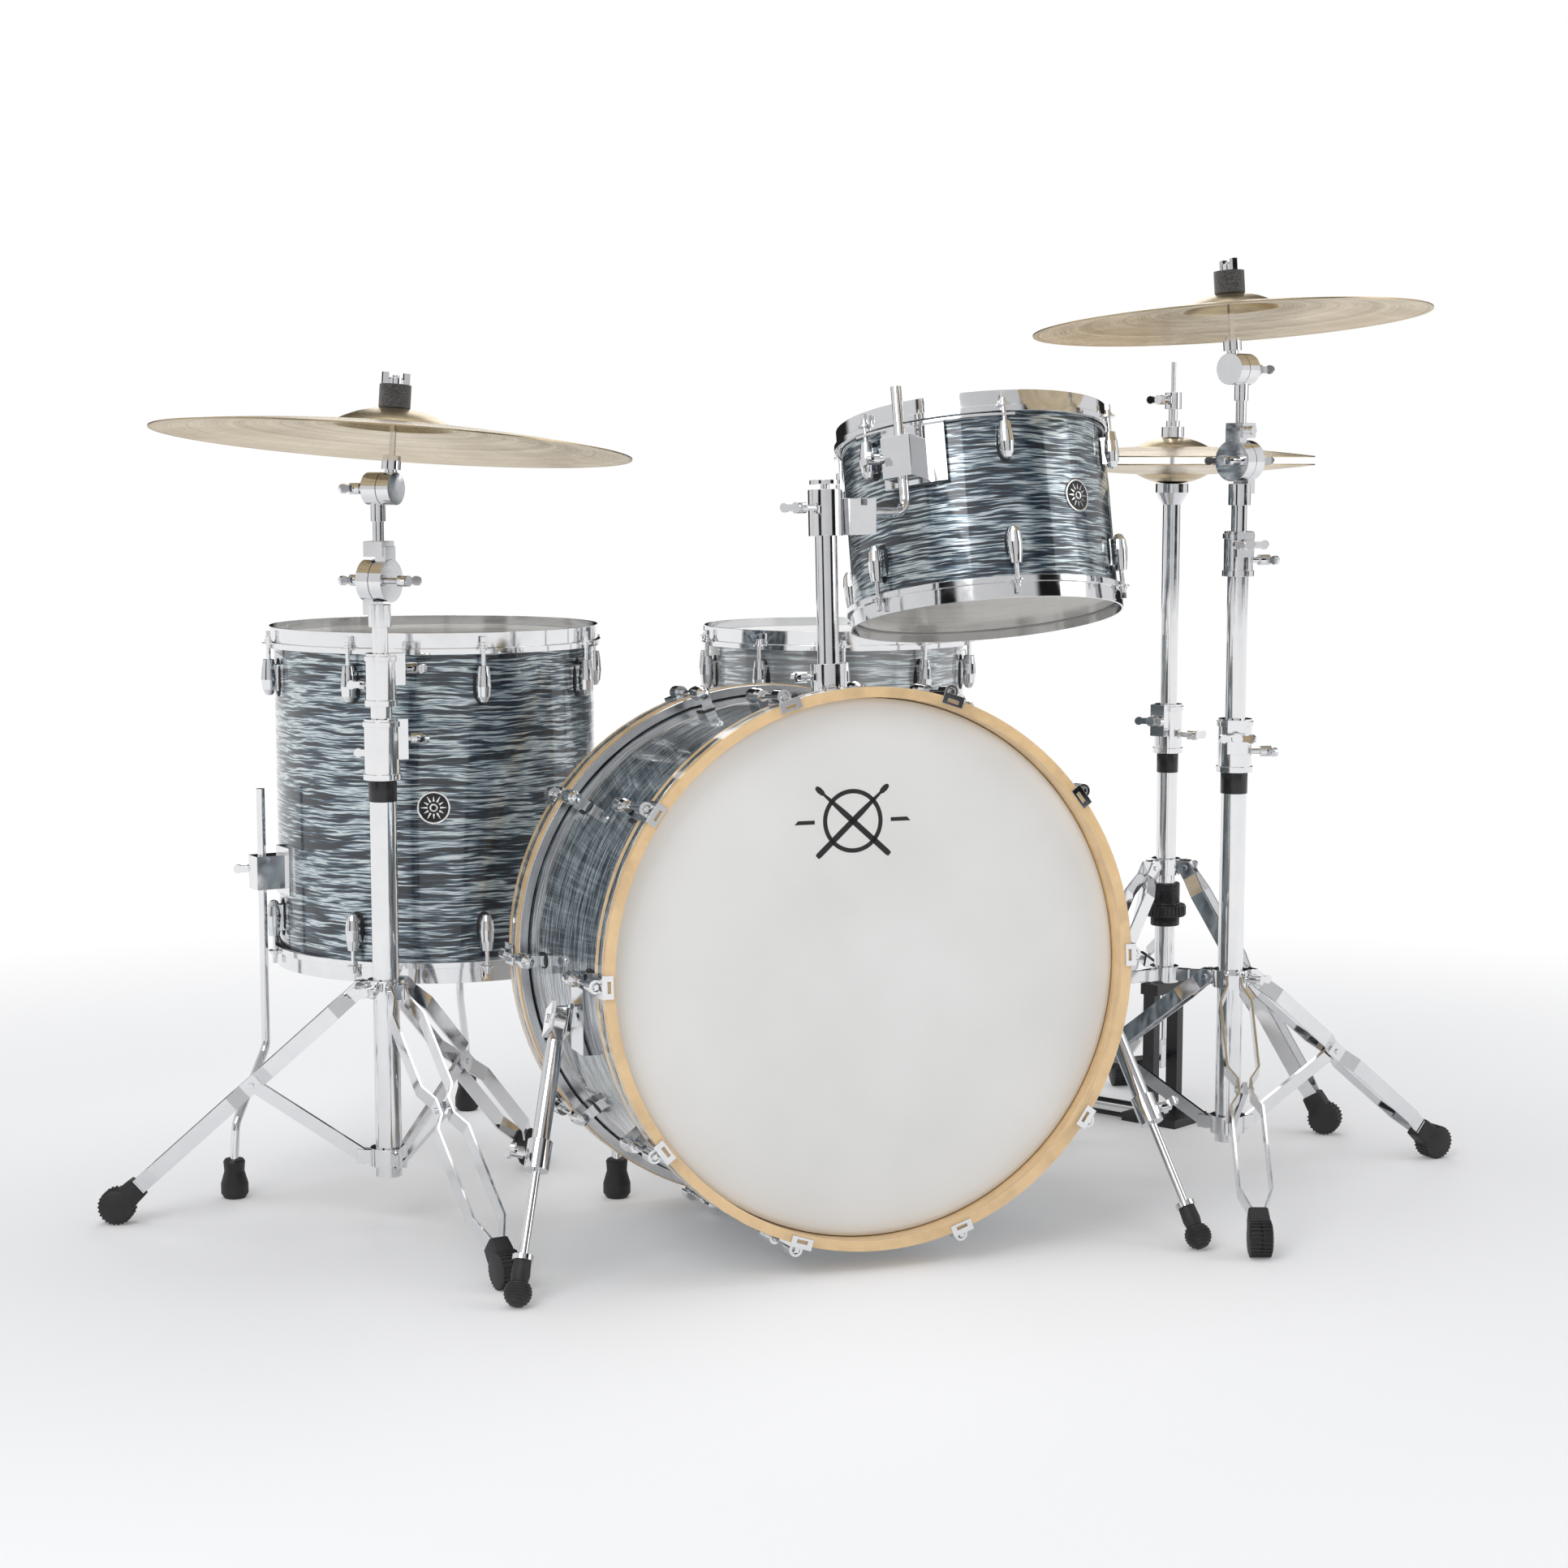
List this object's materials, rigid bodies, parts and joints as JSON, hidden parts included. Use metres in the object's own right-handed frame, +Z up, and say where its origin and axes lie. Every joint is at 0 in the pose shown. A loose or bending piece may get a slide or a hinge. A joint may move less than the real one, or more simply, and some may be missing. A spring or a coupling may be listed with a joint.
{
  "type": "acoustic drum kit",
  "caption": "Acoustic drum kit: bass drum, rack tom, floor tom and snare with boom cymbal stands and a pedal hi-hat, played with sticks and pedals.",
  "frame": {"origin": "on the floor under the centre of the whole kit's bounding box", "axes": "+Z up, the bass drum's front head faces -Y and the drummer sits at +Y; +X is to the right seen from the front"},
  "size_m": [1.7219, 1.1344, 1.1552],
  "materials": {
    "maple": "clear satin lacquer",
    "pearl_wrap": "dark blue-grey oyster pearl film, high gloss",
    "pale_pearl_wrap": "pale silver pearl film, high gloss",
    "coated_film": "coated white",
    "clear_film": "clear film",
    "bronze": "lathed traditional bronze",
    "felt": "grey felt",
    "rubber": "matte black",
    "black_frame": "black powder coat",
    "chrome": "mirror chrome plate"
  },
  "bodies": {
    "kit": {"bass_shell": "maple", "bass_wrap": "pearl_wrap", "bass_hoops": "maple", "bass_heads": "coated_film", "bass_claws": "chrome", "bass_spur_brackets": "chrome", "tom_mount_base": "chrome", "floor_tom_shell": "maple", "floor_tom_wrap": "pearl_wrap", "floor_tom_hoops": "chrome", "floor_tom_heads": "clear_film", "floor_tom_brackets": "chrome", "snare_shell": "maple", "snare_wrap": "pale_pearl_wrap", "snare_hoops": "chrome", "snare_heads": "coated_film", "snare_basket": "chrome", "drum_lugs": "chrome", "drum_tension_rods": "chrome", "stand_base_tubes": "chrome", "stand_clamps": "chrome", "stand_hubs": "chrome", "stand_legs": "chrome", "stand_braces": "chrome", "stand_feet": "rubber", "hihat_frame": "black_frame"},
    "spur_left": {"spur_left_tube": "chrome"},
    "spur_left_extension": {"spur_left_rod": "chrome", "spur_left_foot": "rubber"},
    "spur_right": {"spur_right_tube": "chrome"},
    "spur_right_extension": {"spur_right_rod": "chrome", "spur_right_foot": "rubber"},
    "floor_tom_legs": {"floor_tom_legs": "chrome", "floor_tom_feet": "rubber"},
    "tom_post": {"tom_post": "chrome"},
    "tom_tilter": {"tom_tilter": "chrome"},
    "tom_arm": {"tom_arm": "chrome"},
    "rack_tom": {"tom_bracket": "chrome", "tom_shell": "maple", "tom_wrap": "pearl_wrap", "tom_hoops": "chrome", "tom_heads": "clear_film", "tom_lugs": "chrome", "tom_tension_rods": "chrome"},
    "ride_column": {"ride_upper_tube": "chrome"},
    "ride_boom": {"ride_boom": "chrome"},
    "ride_tilter": {"ride_tilter": "chrome", "ride_felts": "felt"},
    "ride_cymbal": {"ride_cymbal": "bronze"},
    "crash_column": {"crash_upper_tube": "chrome"},
    "crash_boom": {"crash_boom": "chrome"},
    "crash_tilter": {"crash_tilter": "chrome", "crash_felts": "felt"},
    "crash_cymbal": {"crash_cymbal": "bronze"},
    "hihat_column": {"hihat_upper_tube": "chrome", "hihat_bottom_cymbal": "bronze"},
    "hihat_pedal": {"hihat_pedal": "chrome"},
    "hihat_pull": {"hihat_rod": "chrome"},
    "hihat_top": {"hihat_clutch": "chrome", "hihat_top_cymbal": "bronze"}
  },
  "joints": [
    {"name": "spur_left_fold", "type": "hinge", "parent": "kit", "child": "spur_left", "pos_m": [-0.38822, -0.30314, 0.285], "axis": [0.9604, -0.13, -0.2463], "range_deg": [-58, 0]},
    {"name": "spur_left_length", "type": "slide", "parent": "spur_left", "child": "spur_left_extension", "axis": [-0.2785, -0.4484, -0.8494], "range_m": [-0.045, 0.05]},
    {"name": "spur_right_fold", "type": "hinge", "parent": "kit", "child": "spur_right", "pos_m": [0.28338, -0.30314, 0.285], "axis": [0.9901, 0.0791, 0.1162], "range_deg": [-58, 0]},
    {"name": "spur_right_length", "type": "slide", "parent": "spur_right", "child": "spur_right_extension", "axis": [0.1406, -0.5569, -0.8186], "range_m": [-0.045, 0.05]},
    {"name": "floor_tom_height", "type": "slide", "parent": "kit", "child": "floor_tom_legs", "axis": [0, 0, 1], "range_m": [-0.07, 0.12]},
    {"name": "tom_post_height", "type": "slide", "parent": "kit", "child": "tom_post", "axis": [0, 0.061, 0.9981], "range_m": [-0.05, 0.04]},
    {"name": "tom_swivel", "type": "hinge", "parent": "tom_post", "child": "tom_tilter", "pos_m": [-0.05242, -0.2665, 0.85], "axis": [0, 0.061, 0.9981], "range_deg": [-12, 12]},
    {"name": "tom_tilt", "type": "hinge", "parent": "tom_tilter", "child": "tom_arm", "pos_m": [-0.02938, -0.25242, 0.85], "axis": [0.8533, 0.5215, 0], "range_deg": [-10, 10]},
    {"name": "tom_slide_on_arm", "type": "slide", "parent": "tom_arm", "child": "rack_tom", "axis": [0, 0.2198, 0.9755], "range_m": [0, 0.02]},
    {"name": "ride_height", "type": "slide", "parent": "kit", "child": "ride_column", "axis": [0, 0, 1], "range_m": [-0.012, 0.15]},
    {"name": "ride_boom_tilt", "type": "hinge", "parent": "ride_column", "child": "ride_boom", "pos_m": [-0.52842, -0.04814, 0.772], "axis": [0.7071, -0.7071, 0], "range_deg": [-15, 30]},
    {"name": "ride_cymbal_tilt", "type": "hinge", "parent": "ride_boom", "child": "ride_tilter", "pos_m": [-0.52842, -0.04814, 0.879], "axis": [0.7071, -0.7071, 0], "range_deg": [-18, 25]},
    {"name": "ride_cymbal_spin", "type": "hinge", "parent": "ride_tilter", "child": "ride_cymbal", "pos_m": [-0.50859, -0.05523, 0.972], "axis": [0.0836, 0.0527, 0.9951], "continuous": true},
    {"name": "crash_height", "type": "slide", "parent": "kit", "child": "crash_column", "axis": [0, 0, 1], "range_m": [-0.03, 0.15]},
    {"name": "crash_boom_tilt", "type": "hinge", "parent": "crash_column", "child": "crash_boom", "pos_m": [0.50558, -0.23114, 0.911], "axis": [-0.9063, -0.4226, 0], "range_deg": [-20, 12]},
    {"name": "crash_cymbal_tilt", "type": "hinge", "parent": "crash_boom", "child": "crash_tilter", "pos_m": [0.50558, -0.23114, 1.022], "axis": [-0.9063, -0.4226, 0], "range_deg": [-20, 14]},
    {"name": "crash_cymbal_spin", "type": "hinge", "parent": "crash_tilter", "child": "crash_cymbal", "pos_m": [0.48708, -0.23123, 1.113], "axis": [-0.0339, 0.0777, 0.9964], "continuous": true},
    {"name": "hihat_height", "type": "slide", "parent": "kit", "child": "hihat_column", "axis": [0, 0, 1], "range_m": [-0.15, 0]},
    {"name": "hihat_pedal_press", "type": "hinge", "parent": "kit", "child": "hihat_pedal", "pos_m": [0.46014, 0.40124, 0.02], "axis": [0.8746, 0.4848, 0], "range_deg": [0, 1.63]},
    {"name": "hihat_pull_travel", "type": "slide", "parent": "kit", "child": "hihat_pull", "axis": [0, 0, 1], "range_m": [-0.0084, 0], "stiffness_N_per_m": 700, "springref_m": 0.06},
    {"name": "hihat_clutch_height", "type": "slide", "parent": "hihat_pull", "child": "hihat_top", "axis": [0, 0, 1], "range_m": [0, 0.03]}
  ],
  "couplings": [
    {"joint": "hihat_pull_travel", "follows": "hihat_pedal_press", "m_per_rad": -0.288}
  ]
}
